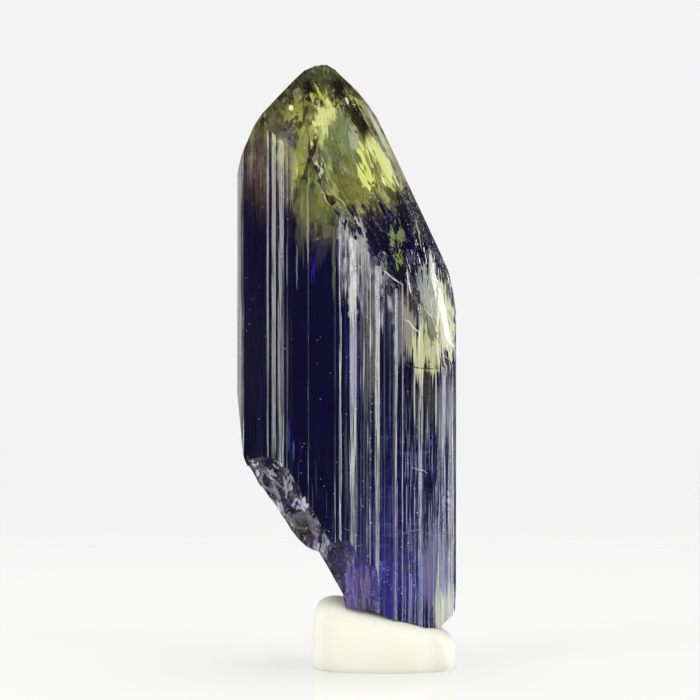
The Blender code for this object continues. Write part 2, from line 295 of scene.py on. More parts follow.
# Putty: what the table cuts off below, how far its corners and its upper rim are drawn in, and how
# often it is rounded
PUTTY_BELOW = 1.40
PUTTY_CORNER = 0.80
PUTTY_BRIM = 0.93
PUTTY_ROUNDS = 4
PUTTY_SHARP = 40.0
SEAT_GAP = 0.02
SEAT_LEFT = -0.06
SEAT_RIGHT = 7.00

# Camera
PIXELS = 700
PIXELS_PER_MM = 17.57
CAMERA_SENSOR = 36.0
CENTRE_X = 0.19
CENTRE_Z = 17.98

# Floor: its size, and between which distances it fades away
FLOOR_RADIUS = 300.0
FLOOR_FADE = (20.0, 200.0)

# Light of the room: what the camera sees, what matt surfaces get, and what shines on gloss from the
# dark part, the far wall, the side walls and the bright panels
SEEN_LIGHT = 0.895
ROOM_LIGHT = 0.86
DARK_GLOSS = 0.03
FAR_GLOSS = 0.81
WALL_GLOSS = 1.0
PANEL_GLOSS = 7.8

# Bright panels on each side: degrees from the viewer to the first, from there to the next, and how
# bright those on the left are beside those on the right
PANEL_TURN = 56.0
PANEL_STEP = 76.0
LEFT_PANELS = 0.60

# Lamps: place and size of each, and its share of the lamp power
SIDE_LAMPS = {
    "left_panel": ((-230.0, -190.0, 120.0), (90.0, 160.0), 0.60),
    "right_panel": ((220.0, -200.0, 130.0), (90.0, 160.0), 0.40),
}
TOP_LAMP_PLACE = (0.0, 40.0, 300.0)
TOP_LAMP_SIZE = (200.0, 200.0)
CLEAR_BOUNCES = 14
GLOSS_BOUNCES = 8


class CrystalSettings(bpy.types.PropertyGroup):
    levels: bpy.props.IntProperty(
        name="Levels", description="How many times the fine faces are split along their length",
        default=60, min=8, max=200,
    )
    wander: bpy.props.FloatProperty(
        name="Wander", description="How far the fine faces wander to the side, in millimetres",
        default=0.012, min=0.0, max=0.2,
    )
    deep_colour: bpy.props.FloatVectorProperty(
        name="Deep colour", description="Colour of the dark left part", subtype="COLOR", size=4,
        default=(0.0042, 0.0024, 0.025, 1.0), min=0.0, max=1.0,
    )
    violet_colour: bpy.props.FloatVectorProperty(
        name="Violet colour", description="Colour of the lower right part", subtype="COLOR", size=4,
        default=(0.022, 0.012, 0.17, 1.0), min=0.0, max=1.0,
    )
    olive_colour: bpy.props.FloatVectorProperty(
        name="Olive colour", description="Darker colour of the tip", subtype="COLOR", size=4,
        default=(0.13, 0.13, 0.02, 1.0), min=0.0, max=1.0,
    )
    yellow_colour: bpy.props.FloatVectorProperty(
        name="Yellow colour", description="Brighter colour of the tip", subtype="COLOR", size=4,
        default=(0.74, 0.80, 0.22, 1.0), min=0.0, max=1.0,
    )
    haze: bpy.props.FloatProperty(
        name="Haze", description="How much light the stone takes up in each metre", default=20.0, min=0.0,
    )


class PuttySettings(bpy.types.PropertyGroup):
    left: bpy.props.FloatProperty(
        name="Left", description="Left end of the lump, in millimetres", default=-2.00,
    )
    right: bpy.props.FloatProperty(
        name="Right", description="Right end of the lump, in millimetres", default=6.27,
    )
    depth: bpy.props.FloatProperty(
        name="Depth", description="Size of the lump from front to back, in millimetres",
        default=8.90, min=1.0,
    )
    top_left: bpy.props.FloatProperty(
        name="Top left", description="Height of the left end, in millimetres", default=4.30, min=0.5,
    )
    top_right: bpy.props.FloatProperty(
        name="Top right", description="Height of the right end, in millimetres", default=2.00, min=0.5,
    )
    colour: bpy.props.FloatVectorProperty(
        name="Colour", description="Colour of the putty", subtype="COLOR", size=4,
        default=(0.97, 0.99, 0.76, 1.0), min=0.0, max=1.0,
    )


class StageSettings(bpy.types.PropertyGroup):
    floor_colour: bpy.props.FloatVectorProperty(
        name="Floor colour", description="Colour of the floor", subtype="COLOR", size=4,
        default=(0.91, 0.91, 0.90, 1.0), min=0.0, max=1.0,
    )
    lamp_power: bpy.props.FloatProperty(
        name="Lamp power", description="Power of the two side lamps together, in watts",
        default=0.34, min=0.0,
    )
    top_power: bpy.props.FloatProperty(
        name="Top power", description="Power of the lamp above, in watts", default=0.26, min=0.0,
    )
    lens: bpy.props.FloatProperty(
        name="Lens", description="Focal length of the camera, in millimetres", default=200.0, min=20.0,
    )
    above: bpy.props.FloatProperty(
        name="Above", description="How far the camera looks down", subtype="ANGLE", default=radians(1.6),
    )


class Value:
    """A number, colour or vector that flows from one socket of a node."""

    def __init__(self, graph, socket):
        self.graph = graph
        self.socket = socket

    def __add__(self, other):
        return self.graph.math("ADD", self, other)

    __radd__ = __add__

    def __sub__(self, other):
        return self.graph.math("SUBTRACT", self, other)

    def __rsub__(self, other):
        return self.graph.math("SUBTRACT", other, self)

    def __mul__(self, other):
        return self.graph.math("MULTIPLY", self, other)

    __rmul__ = __mul__

    def size(self):
        return self.graph.math("ABSOLUTE", self)

    def ramp(self, low, high):
        """A soft step from 0 at low to 1 at high."""
        return self.graph.node(
            "ShaderNodeMapRange", {"interpolation_type": "SMOOTHSTEP", "clamp": True},
            {"Value": self, "From Min": low, "From Max": high},
        )

    def between(self, low, high, soft):
        """1 from low to high, with soft ends."""
        return self.ramp(low - soft, low + soft) * (1 - self.ramp(high - soft, high + soft))


class Graph:
    """The nodes of one material or world."""

    def __init__(self, owner):
        owner.use_nodes = True
        self.tree = owner.node_tree
        self.tree.nodes.clear()

    def node(self, kind, settings=None, inputs=None, out=0):
        """Add a node, set it up, feed it, and return what flows out of it."""
        item = self.tree.nodes.new(kind)
        for name, setting in (settings or {}).items():
            setattr(item, name, setting)
        for name, value in (inputs or {}).items():
            if isinstance(value, Value):
                self.tree.links.new(value.socket, item.inputs[name])
            else:
                item.inputs[name].default_value = value
        return Value(self, item.outputs[out]) if item.outputs else None

    def math(self, operation, first, second=0.0):
        return self.node("ShaderNodeMath", {"operation": operation}, {0: first, 1: second})

    def vector(self, operation, first, second=(0.0, 0.0, 0.0), out=0):
        return self.node("ShaderNodeVectorMath", {"operation": operation}, {0: first, 1: second}, out)

    def mix(self, share, first, second):
        """Mix two colours."""
        return self.node("ShaderNodeMix", {"data_type": "RGBA"}, {0: share, 6: first, 7: second}, out=2)

    def blend(self, share, first, second):
        """Mix two numbers."""
        return self.node("ShaderNodeMix", {"data_type": "FLOAT"}, {0: share, 2: first, 3: second})

    def split(self, vector):
        item = self.node("ShaderNodeSeparateXYZ", None, {0: vector}).socket.node
        return [Value(self, socket) for socket in item.outputs]

    def join(self, x, y, z):
        return self.node("ShaderNodeCombineXYZ", None, {0: x, 1: y, 2: z})

    def noise(self, place, scale, detail=2.0):
        """Soft noise around 0."""
        inputs = {"Vector": place, "Scale": scale, "Detail": detail}
        return self.node("ShaderNodeTexNoise", None, inputs) - 0.5

    def cells(self, place, scale, out="Color"):
        """Cells with sharp edges, as one random colour each, or as the distance from their middles."""
        return self.node("ShaderNodeTexVoronoi", None, {"Vector": place, "Scale": scale}, out)

    def place_in_mm(self):
        """The place on the piece in millimetres."""
        place = self.node("ShaderNodeTexCoord", None, None, out="Object")
        return self.vector("MULTIPLY", place, (1.0 / MM, 1.0 / MM, 1.0 / MM))

    def surface(self, shader, volume=None):
        inputs = {"Surface": shader}
        if volume is not None:
            inputs["Volume"] = volume
        self.node("ShaderNodeOutputMaterial", None, inputs)


def shade(red, green, blue):
    """Turn a colour written from 0 to 255 into the values that materials take."""
    return tuple((part / 255.0) ** 2.2 for part in (red, green, blue)) + (1.0,)


def finish_mesh(name, shape):
    """Turn a finished shape in millimetres into a piece in metres."""
    bmesh.ops.scale(shape, vec=(MM, MM, MM), verts=shape.verts)
    bmesh.ops.recalc_face_normals(shape, faces=shape.faces)
    mesh = bpy.data.meshes.new(name)
    shape.to_mesh(mesh)
    shape.free()
    piece = bpy.data.objects.new(name, mesh)
    bpy.context.scene.collection.objects.link(piece)
    return piece


def carve(piece, cutter, operation):
    """Cut or keep with another shape, then remove it."""
    modifier = piece.modifiers.new(cutter.name, "BOOLEAN")
    modifier.operation = operation
    modifier.solver = "EXACT"
    modifier.material_mode = "TRANSFER"
    modifier.object = cutter
    apply_modifiers(piece)
    old = cutter.data
    bpy.data.objects.remove(cutter)
    bpy.data.meshes.remove(old)


def apply_modifiers(piece):
    """Give the piece the mesh that its modifiers make."""
    bpy.context.view_layer.update()
    graph = bpy.context.evaluated_depsgraph_get()
    mesh = bpy.data.meshes.new_from_object(piece.evaluated_get(graph))
    old = piece.data
    piece.modifiers.clear()
    piece.data = mesh
    bpy.data.meshes.remove(old)


def extrude_outline(points, direction):
    """A solid with the given corners as its end, pushed along a direction."""
    shape = bmesh.new()
    corners = [shape.verts.new(point) for point in points]
    end = shape.faces.new(corners)
    result = bmesh.ops.extrude_face_region(shape, geom=[end], use_keep_orig=True)
    moved = [item for item in result["geom"] if isinstance(item, bmesh.types.BMVert)]
    bmesh.ops.translate(shape, vec=direction, verts=moved)
    return shape


def cut_flat(shape, point, facing, keep_inner=True):
    """Cut along a plane, drop what lies beyond it, and close the cut with a flat face."""
    everything = shape.verts[:] + shape.edges[:] + shape.faces[:]
    bmesh.ops.bisect_plane(
        shape, geom=everything, dist=1e-6, plane_co=point, plane_no=Vector(facing).normalized(),
        clear_outer=keep_inner, clear_inner=not keep_inner,
    )
    open_edges = [edge for edge in shape.edges if edge.is_boundary]
    if open_edges:
        bmesh.ops.edgeloop_fill(shape, edges=open_edges)


def fine_faces(start, faces):
    """Split each face into fine faces that rock to and fro but keep its slope as a whole."""
    fine = []
    x = start
    for edge, turn, count, rock in faces:
        step = (edge - x) / count
        for number in range(count):
            sway = rock * sin(2.4 * (number + 1) + 7.3 * edge)
            width = step * (1.0 + 0.35 * sin(1.7 * number + 3.1 * edge))
            x = x + width if number < count - 1 else edge
            fine.append((x, turn + sway))
    return fine


def prism_corners():
    """Corners of the cross-section, worked out from the widths and turns of its faces."""
    corners = [(LEFT_X, LEFT_FRONT_Y, 0.0)]
    x, y = LEFT_X, LEFT_FRONT_Y
    for right_x, turn in fine_faces(LEFT_X, FRONT_FACES):
        y += (right_x - x) * tan(radians(turn))
        x = right_x
        corners.append((x, y, 0.0))
    y = RIGHT_BACK_Y
    corners.append((x, y, 0.0))
    for left_x, turn in fine_faces(RIGHT_X, BACK_FACES):
        y += (x - left_x) * tan(radians(turn))
        x = left_x
        corners.append((x, y, 0.0))
    return corners


def striated_prism(settings):
    """The whole prism in levels, whose fine faces wander a little along their length."""
    shape = bmesh.new()
    corners = [shape.verts.new(point) for point in prism_corners()]
    top = shape.faces.new(corners)
    step = PRISM_TOP / settings.levels
    for level in range(settings.levels):
        result = bmesh.ops.extrude_face_region(shape, geom=[top], use_keep_orig=True)
        moved = [item for item in result["geom"] if isinstance(item, bmesh.types.BMVert)]
        bmesh.ops.translate(shape, vec=(0.0, 0.0, step), verts=moved)
        if level > 0:
            bmesh.ops.delete(shape, geom=[top], context="FACES_ONLY")
        top = [item for item in result["geom"] if isinstance(item, bmesh.types.BMFace)][0]
    for vert in shape.verts:
        x, y, z = vert.co
        side = 3.0 if y > 0.0 else 0.0
        wander = noise.noise(Vector((1.3 * x, side, 0.09 * z)))
        ripple = noise.noise(Vector((5.0 * x, side, 0.16 * z)))
        slow = noise.noise(Vector((0.4 * x, side + 5.0, 0.06 * z)))
        vert.co.x += settings.wander * wander * (1.0 - (x / RIGHT_X) ** 8)
        vert.co.y = min(y + 0.05 * slow + 0.006 * ripple, DEEPEST)
    return shape


def block_beyond(surfaces):
    """The block that lies beyond every one of the surfaces."""
    shape = bmesh.new()
    bmesh.ops.create_cube(shape, size=1.0)
    bmesh.ops.scale(shape, vec=BLOCK, verts=shape.verts)
    middle = sum((Vector(point) for point, _ in surfaces.values()), Vector()) / len(surfaces)
    bmesh.ops.translate(shape, vec=(0.0, 0.0, middle.z), verts=shape.verts)
    for point, facing in surfaces.values():
        cut_flat(shape, point, facing, keep_inner=False)
    return shape


def lump_height(place, width, height, squeeze):
    """Soft lumps, drawn out upwards by the squeeze."""
    return height * noise.noise(Vector((place.x, place.y, place.z * squeeze)) / width)


def chip_height(place, width, steep, squeeze):
    """Small flat chips, each tilted its own way."""
    leaned = Vector((place.x + 0.3 * place.z * (1.0 - squeeze), place.y, place.z * squeeze)) / width
    middle = noise.voronoi(leaned)[1][0]
    tilt = noise.cell_vector(middle * 13.7) - Vector((0.5, 0.5, 0.5))
    return 2.0 * steep * width * (leaned - middle).dot(tilt)


def rough_block(name):
    """The block of one rough group, with its layers of roughness on it."""
    surfaces, layers, grain = ROUGH[name]
    block = finish_mesh(name, block_beyond(surfaces))
    remesh = block.modifiers.new("remesh", "REMESH")
    remesh.mode = "VOXEL"
    remesh.voxel_size = grain * MM
    apply_modifiers(block)
    shape = bmesh.new()
    shape.from_mesh(block.data)
    shape.normal_update()
    heights = {"lump": lump_height, "chip": chip_height}
    moves = []
    for vert in shape.verts:
        place = vert.co / MM
        moves.append(vert.normal * MM * sum(heights[kind](place, *sizes) for kind, *sizes in layers))
    for vert, move in zip(shape.verts, moves):
        vert.co += move
    shape.to_mesh(block.data)
    shape.free()
    block.data.materials.append(bpy.data.materials.new(name))
    return block


def note_rough_faces(crystal):
    """Keep which faces are broken as an attribute, and drop the materials that told them apart."""
    slots = [slot.material.name if slot.material else "" for slot in crystal.material_slots]
    broken = crystal.data.attributes.new("broken", "FLOAT", "FACE")
    for face in crystal.data.polygons:
        name = slots[face.material_index] if slots else ""
        broken.data[face.index].value = float(name.startswith("break"))
    for face in crystal.data.polygons:
        face.material_index = 0
    crystal.data.materials.clear()
    for name in ROUGH:
        bpy.data.materials.remove(bpy.data.materials[name])


def make_crystal(settings):
    """The prism with its tip faces, cut to its outline and broken where the real one is."""
    shape = striated_prism(settings)
    for point, facing in TIP_FACES.values():
        cut_flat(shape, point, facing)
    crystal = finish_mesh("violet_crystal", shape)
    crystal.data.materials.append(crystal_material(settings))
    front = [(x, -REACH, z) for x, z in OUTLINE]
    outline = finish_mesh("outline", extrude_outline(front, (0.0, 2.0 * REACH, 0.0)))
    outline.data.materials.append(crystal.data.materials[0])
    carve(crystal, outline, "INTERSECT")
    for name in ROUGH:
        carve(crystal, rough_block(name), "DIFFERENCE")
    stone = crystal.material_slots[0].material
    note_rough_faces(crystal)
    crystal.data.materials.append(stone)
    crystal.data.shade_smooth()
    crystal.data.set_sharp_from_angle(angle=radians(STONE_SHARP))
    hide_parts("tanzanite_crystal")
    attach(crystal, "root")
    return crystal


class Pattern:
    """The places and noises that the colours of the crystal share."""

    def __init__(self, g):
        self.g = g
        self.place = g.place_in_mm()
        self.x, self.y, self.z = g.split(self.place)
        self.front = 1 - self.y.ramp(-1.5, 1.0)
        self.drift = g.noise(g.vector("MULTIPLY", self.place, (3.0, 3.0, 0.14)), 1.0, 2.0)
        self.fine = g.noise(g.vector("MULTIPLY", self.place, (10.2, 10.2, 0.26)), 1.0, 1.0)
        self.mottle = g.noise(self.place, 1.6, 2.0)
        leaned = g.join(self.x + 0.47 * (self.z - 28.0) * self.x.ramp(-2.0, 0.5), self.y, self.z)
        big = g.cells(g.vector("MULTIPLY", leaned, (1.9, 1.0, 0.75)), 1.0)
        small = g.cells(g.vector("MULTIPLY", leaned, (5.0, 2.5, 2.2)), 1.0)
        _, self.tone, self.chance = g.split(big)
        self.small = g.split(small)[0]
        self.lean_streak = g.noise(g.vector("MULTIPLY", leaned, (6.0, 3.0, 0.35)), 1.0, 2.0)
        jump = g.vector("MULTIPLY", g.vector("SUBTRACT", big, (0.5, 0.5, 0.5)), (0.45, 0.0, 0.9))
        hop = g.vector("MULTIPLY", g.vector("SUBTRACT", small, (0.5, 0.5, 0.5)), (0.30, 0.0, 0.6))
        self.chipped = g.vector("ADD", self.place, hop)
        self.flaky = g.vector("ADD", self.chipped, jump)
        draw_out = g.join(0.5 * self.mottle, 6.0 * self.fine, 4.5 * self.drift + 3.5 * self.fine)
        self.streaky = g.vector("ADD", self.place, draw_out)
        wobble = g.noise(self.place, 2.2, 2.0)
        self.wavy = g.vector("ADD", self.place, g.join(0.14 * wobble, 0.0, 0.45 * self.mottle))
        tear = g.join(0.5 * self.drift + 0.3 * wobble, 0.0, 2.2 * self.fine + 1.2 * self.drift)
        small_hop = g.vector("MULTIPLY", hop, (0.4, 0.0, 0.4))
        self.ragged = g.vector("ADD", g.vector("ADD", self.place, tear), small_hop)
        self.broken = g.node("ShaderNodeAttribute", {"attribute_name": "broken"}, None, out="Fac")


def add_marks(p, place, marks, colour, cloud):
    """Lay soft-edged marks over a colour, and over how cloudy the stone is. Some marks are painted
    highlights, painted light or painted shade.
    """
    g = p.g
    for x, z, width, height, lean, tint, strength, mist in marks.values():
        inside = g.node(
            "ShaderNodeMapping", {"vector_type": "TEXTURE"},
            {
                "Vector": place,
                "Location": (x, MARK_Y, z),
                "Rotation": (0.0, radians(lean), 0.0),
                "Scale": (width, MARK_DEPTH, height),
            },
        )
        away = g.vector("LENGTH", inside, out="Value")
        share = strength * (1 - away.ramp(0.75, 1.10))
        colour = g.mix(share, colour, shade(*tint))
        cloud = g.blend(share, cloud, mist)
    return colour, cloud


def body_colour(p, settings):
    """Navy at the left, brighter violet low down at the right, with fine lavender streaks."""
    g = p.g
    low = (11.0 - p.z + 1.5 * p.x + 5.0 * p.drift + 2.0 * p.mottle).ramp(0.0, 13.0)
    colour = g.mix(low, tuple(settings.deep_colour), tuple(settings.violet_colour))
    colour = g.mix(0.6 * (p.fine + p.mottle).ramp(0.05, 0.30), colour, shade(5, 3, 20))
    inner = p.x - 1.2 * p.z.ramp(6.0, 9.0)
    streak = (inner + 1.5 * p.fine).ramp(3.2, 5.6) * (p.drift + p.fine).ramp(-0.05, 0.20)
    colour = g.mix(0.75 * streak, colour, shade(150, 146, 180))
    thread = (p.x + p.drift).ramp(-1.5, 1.5) * (p.fine - 0.4 * p.drift).ramp(0.12, 0.22)
    colour = g.mix(0.5 * thread, colour, shade(96, 90, 150))
    veil = g.noise(g.vector("MULTIPLY", p.place, (0.9, 0.9, 2.4)), 1.0, 4.0).ramp(0.02, 0.15)
    veil = veil * p.x.ramp(0.2, 2.5) * p.z.between(3.5, 14.5, 1.5)
    colour = g.mix(0.4 * veil, colour, shade(72, 76, 148))
    cloud = 0.55 * streak + 0.30 * thread + 0.20 * veil
    return colour, cloud


def tip_colour(p, settings):
    """A mosaic of olive and yellow green, in flakes and leaning streaks."""
    g = p.g
    tone = 0.50 * p.tone + 0.35 * p.small + 1.1 * p.lean_streak + 0.5 * p.mottle
    colour = g.mix(tone.ramp(0.15, 0.75), tuple(settings.olive_colour), tuple(settings.yellow_colour))
    return g.mix((0.5 * p.chance + 0.5 * p.small).ramp(0.60, 0.74), colour, shade(40, 38, 18))


def tip_share(p):
    """1 in the green tip and 0 in the violet body, with a ragged border of streaks."""
    edge = 25.2 + 3.6 * (1 - p.x.ramp(-3.4, -2.6)) + 0.9 * p.x.ramp(-0.4, 0.8)
    ragged = 4.0 * p.drift + 2.0 * p.fine + 2.5 * p.lean_streak + 0.9 * (p.small - 0.5)
    return (p.z - edge + ragged).ramp(-0.9, 1.1)


def add_etching(p, colour, cloud):
    """Etched strokes under the edge of the right front face: the etching is the stone's own, and its
    silvery look and white strokes are painted highlights.
    """
    g = p.g
    above = p.z - (26.98 - 1.23 * (p.x + 1.29)) + 4.0 * p.drift + 3.0 * p.fine
    zone = above.between(-3.8, 0.3, 0.5) * p.x.between(-0.5, 2.6, 0.2) * (1 - p.y.ramp(-2.6, -2.1))
    stroke = g.noise(g.vector("MULTIPLY", p.wavy, (5.5, 1.0, 1.1)), 1.0, 2.0)
    # Painted highlight: the silvery sheen of the etched zone.
    etched_sheen = zone * (p.drift + 1.2 * p.fine + 0.8 * p.mottle + 0.10).ramp(-0.10, 0.06)
    tone = g.mix(stroke.ramp(-0.16, 0.18), shade(104, 102, 116), shade(236, 237, 232))
    return g.mix(0.85 * etched_sheen, colour, tone), g.blend(etched_sheen, cloud, 0.6 + 0.3 * stroke)


def add_reflection_threads(p, colour, cloud):
    """Dark and white upright threads through the pale parts: right, middle, stem and foot. The white
    threads are painted reflections of the fine faces, and the dark ones darken the gaps between them.
    """
    g = p.g
    right = p.x.between(3.2, 6.4, 0.3) * p.z.between(12.5, 22.5, 1.5)
    middle = p.x.between(0.75, 1.50, 0.1) * p.z.between(12.0, 23.0, 1.5)
    stem = p.x.between(-0.2, 1.9, 0.2) * (1 - p.z.ramp(5.0, 6.4))
    foot = p.x.ramp(3.8, 4.8) * (1 - p.z.ramp(5.0, 9.0))
    zone = (right + middle + 0.9 * stem + 0.7 * foot) * p.front
    thread = g.noise(g.vector("MULTIPLY", p.place, (9.0, 9.0, 0.20)), 1.0, 1.0)
    dark = g.mix(p.z.ramp(7.0, 12.0), shade(34, 26, 96), shade(62, 62, 58))
    depth = 0.75 - 0.3 * p.z.ramp(12.0, 16.0)
    colour = g.mix(depth * zone * thread.ramp(0.08, 0.18), colour, dark)
    # Painted reflections: white threads of light on the fine faces.
    white = zone * (1 - thread.ramp(-0.24, -0.13))
    pale = g.mix(p.z.ramp(7.0, 12.0), shade(196, 188, 226), shade(240, 242, 236))
    return g.mix(0.8 * white, colour, pale), g.blend(0.8 * white, cloud, 0.9)


def add_flecks_and_glints(p, colour, cloud):
    """Tiny bright dots, partly white flecks in the stone and partly painted glints: a row on the front,
    more round the breaks, and a few anywhere.
    """
    g = p.g
    dots = g.vector("MULTIPLY", p.place, (5.5, 5.5, 5.5))
    near = 1 - g.cells(dots, 1.0, "Distance").ramp(0.10, 0.24)
    chance = g.split(g.cells(dots, 1.0))[0]
    row = p.x.between(1.28, 1.50, 0.02) * p.z.between(7.7, 18.4, 0.3)
    below = 9.4 - 0.82 * (p.x + 2.6) + 2.0 * p.mottle - p.z
    band = below.between(-0.6, 1.6, 0.5) * p.x.between(-3.6, 2.6, 0.3)
    cluster = p.x.between(4.7, 5.7, 0.2) * p.z.between(6.8, 8.0, 0.3)
    short_row = p.x.between(-2.64, -2.40, 0.02) * p.z.between(11.9, 12.9, 0.2)
    share = (row + short_row + band + cluster).ramp(0.2, 0.8) * near * chance.ramp(0.30, 0.34) * p.front
    few = near * chance.ramp(0.955, 0.965) * p.front
    share = g.math("MAXIMUM", 0.9 * share, 0.7 * few)
    colour = g.mix(share, colour, shade(206, 208, 236))
    return colour, g.blend(share, cloud, 0.9)


def add_break(p, colour, cloud):
    """Darker and duller stone where it is broken."""
    g = p.g
    dull = g.mix(p.small, shade(28, 22, 50), shade(84, 78, 106))
    dull = g.mix((p.x + 0.5 * p.z + p.mottle).ramp(3.2, 3.9), dull, shade(84, 70, 150))
    return g.mix(0.85 * p.broken, colour, dull), g.blend(p.broken, cloud, 0.4)


def stone_colour(p, settings):
    """The colour of the stone with all its marks, among them painted highlights, painted light and painted
    shade, and how cloudy it is.
    """
    g = p.g
    tip = tip_share(p)
    colour, cloud = body_colour(p, settings)
    colour = g.mix(tip, colour, tip_colour(p, settings))
    cloud = g.blend(tip, cloud, 0.30)
    blush = (1 - (p.x + p.fine).ramp(-4.7, -3.7)) * p.z.between(26.8, 30.4, 1.0)
    colour = g.mix(0.8 * blush, colour, shade(76, 50, 84))
    colour, cloud = add_etching(p, colour, cloud)
    colour, cloud = add_break(p, colour, cloud)
    colour, cloud = add_marks(p, p.flaky, FLAKY_MARKS, colour, cloud)
    colour = g.mix(0.45 * tip * p.lean_streak.ramp(0.06, 0.20), colour, shade(92, 96, 40))
    colour, cloud = add_marks(p, p.chipped, CHIPPED_MARKS, colour, cloud)
    colour, cloud = add_marks(p, p.streaky, STREAKY_MARKS, colour, cloud)
    colour, cloud = add_reflection_threads(p, colour, cloud)
    colour, cloud = add_marks(p, p.ragged, RAGGED_MARKS, colour, cloud)
    colour, cloud = add_marks(p, p.wavy, SHARP_MARKS, colour, cloud)
    return add_flecks_and_glints(p, colour, cloud)


def stone_relief(p):
    """Fine upright lines, deeper low down at the front, where they break up the white stripes."""
    deeper = 1.0 + 1.6 * p.front * (1 - p.z.ramp(7.0, 18.0))
    relief = deeper * (0.5 * p.drift + 0.5 * p.fine) + 0.15 * p.mottle
    return p.g.node("ShaderNodeBump", None, {"Strength": 0.25, "Distance": 0.1 * MM, "Height": relief})


def crystal_material(settings):
    """Clear stone, mixed with a cloudy one where it holds veils, cracks and flakes, and where its colour
    carries painted highlights and painted light.
    """
    material = bpy.data.materials.new("violet_crystal")
    g = Graph(material)
    p = Pattern(g)
    colour, cloud = stone_colour(p, settings)
    bump = stone_relief(p)
    left_dull = (1 - p.x.ramp(-3.4, -2.8)) * p.z.between(14.5, 20.5, 2.0)
    dull = g.math("MAXIMUM", left_dull, p.front * (1 - p.z.ramp(6.5, 13.0)))
    clear = g.node(
        "ShaderNodeBsdfPrincipled", None,
        {
            "Base Color": colour,
            "Roughness": 0.03 + 0.25 * cloud + 0.16 * dull + 0.10 * p.broken,
            "IOR": STONE_IOR,
            "Transmission Weight": 0.95,
            "Normal": bump,
        },
    )
    cloudy = g.node(
        "ShaderNodeBsdfPrincipled", None,
        {
            "Base Color": colour,
            "Roughness": 0.30,
            "IOR": STONE_IOR,
            "Transmission Weight": 0.20,
            "Normal": bump,
        },
    )
    shader = g.node("ShaderNodeMixShader", None, {0: cloud, 1: clear, 2: cloudy})
    haze = g.node(
        "ShaderNodeVolumeAbsorption", None, {"Color": (0.80, 0.76, 0.92, 1), "Density": settings.haze}
    )
    g.surface(shader, haze)
    return material


def soft_lump(settings):
    """A rounded lump, lower at the right, with its underside cut flat by the table."""
    shape = bmesh.new()
    bmesh.ops.create_cube(shape, size=1.0)
    bmesh.ops.subdivide_edges(shape, edges=shape.edges[:], cuts=2, use_grid_fill=True)
    width = settings.right - settings.left
    for vert in shape.verts:
        inset = PUTTY_CORNER if abs(vert.co.x * vert.co.y) > 0.2 else 1.0
        if vert.co.z > 0.4:
            inset *= PUTTY_BRIM
        share = inset * vert.co.x + 0.5
        top = settings.top_left + share * (settings.top_right - settings.top_left)
        height = top + PUTTY_BELOW
        depth = inset * settings.depth * vert.co.y
        vert.co = (settings.left + width * share, depth, height * (vert.co.z + 0.5) - PUTTY_BELOW)
    putty = finish_mesh("putty_lump", shape)
    soften = putty.modifiers.new("soften", "SUBSURF")
    soften.levels = PUTTY_ROUNDS
    soften.render_levels = PUTTY_ROUNDS
    apply_modifiers(putty)
    table = bmesh.new()
    bmesh.ops.create_cube(table, size=2.0 * REACH)
    bmesh.ops.translate(table, vec=(0.0, 0.0, -REACH), verts=table.verts)
    carve(putty, finish_mesh("table_top", table), "DIFFERENCE")
    return putty


def cut_seat(putty, settings):
    """Press the broken base of the crystal into the putty."""
    seat = [(x, -REACH, z - SEAT_GAP) for x, z in CHIPPED_CORNER[2:] + BROKEN_BASE]
    seat[-1] = (SEAT_LEFT, -REACH, seat[-1][2])
    roof = 3.0 * settings.top_left
    seat = [(SEAT_LEFT, -REACH, roof), (SEAT_RIGHT, -REACH, roof), (SEAT_RIGHT, -REACH, seat[0][2])] + seat
    carve(putty, finish_mesh("seat", extrude_outline(seat, (0.0, 2.0 * REACH, 0.0))), "DIFFERENCE")


def make_putty(settings):
    """The lump of putty with its seat."""
    putty = soft_lump(settings)
    cut_seat(putty, settings)
    putty.data.shade_smooth()
    putty.data.set_sharp_from_angle(angle=radians(PUTTY_SHARP))
    putty.data.materials.clear()
    putty.data.materials.append(putty_material(settings))
    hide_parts("display_putty")
    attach(putty, "root")
    return putty


def putty_material(settings):
    """Soft white, a little uneven, with light going in under its surface."""
    material = bpy.data.materials.new("white_putty")
    g = Graph(material)
    place = g.place_in_mm()
    mottle = g.noise(place, 1.3, 3.0)
    dimples = g.noise(place, 4.0, 3.0)
    colour = g.mix((mottle + 0.5).ramp(0.3, 0.7), tuple(settings.colour), (0.98, 0.99, 0.84, 1))
    bump = g.node("ShaderNodeBump", None, {"Strength": 0.12, "Distance": 0.0002, "Height": dimples})
    shader = g.node(
        "ShaderNodeBsdfPrincipled", None,
        {
            "Base Color": colour,
            "Roughness": 0.5 + 0.2 * mottle,
            "Subsurface Weight": 0.5,
            "Subsurface Radius": (1.0, 1.0, 1.0),
            "Subsurface Scale": 0.0015,
            "Normal": bump,
        },
    )
    g.surface(shader)
    return material


def make_floor(settings):
    """A pale floor that shines a little and fades away from the piece."""
    shape = bmesh.new()
    bmesh.ops.create_circle(shape, cap_ends=True, segments=96, radius=FLOOR_RADIUS)
    floor = finish_mesh("pale_floor", shape)
    material = bpy.data.materials.new("pale_floor")
    g = Graph(material)
    shader = g.node(
        "ShaderNodeBsdfPrincipled", None,
        {"Base Color": tuple(settings.floor_colour), "Roughness": 0.12, "Specular IOR Level": 0.5},
    )
    x, y, _ = g.split(g.place_in_mm())
    away = g.math("SQRT", x * x + y * y)
    clear = g.node("ShaderNodeBsdfTransparent")
    g.surface(g.node("ShaderNodeMixShader", None, {0: away.ramp(*FLOOR_FADE), 1: shader, 2: clear}))
    floor.data.materials.append(material)
    floor.visible_glossy = False
    return floor


